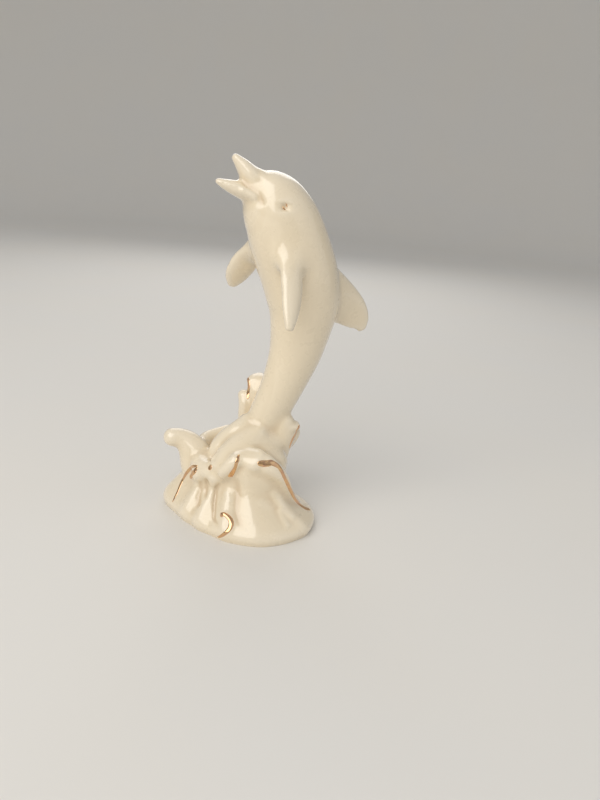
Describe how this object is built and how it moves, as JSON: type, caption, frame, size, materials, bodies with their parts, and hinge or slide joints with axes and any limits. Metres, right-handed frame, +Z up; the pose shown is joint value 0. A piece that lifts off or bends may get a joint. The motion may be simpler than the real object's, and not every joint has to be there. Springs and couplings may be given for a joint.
{
  "type": "dolphin figurine",
  "caption": "Glazed ivory porcelain dolphin leaping up out of a breaking wave that forms its flat foot, with gold lines on the crests.",
  "frame": {"origin": "centre of the flat foot, on the surface that the figurine stands on", "axes": "+Z up; the dolphin lies in the XZ plane, belly and beak towards -X, dorsal fin towards +X, its left side towards -Y"},
  "size_m": [0.0959, 0.0722, 0.1648],
  "materials": {
    "ivory_porcelain": "glossy",
    "gold_lustre": "mirror"
  },
  "bodies": {
    "root": {"dolphin_figurine": "ivory_porcelain"}
  },
  "joints": []
}
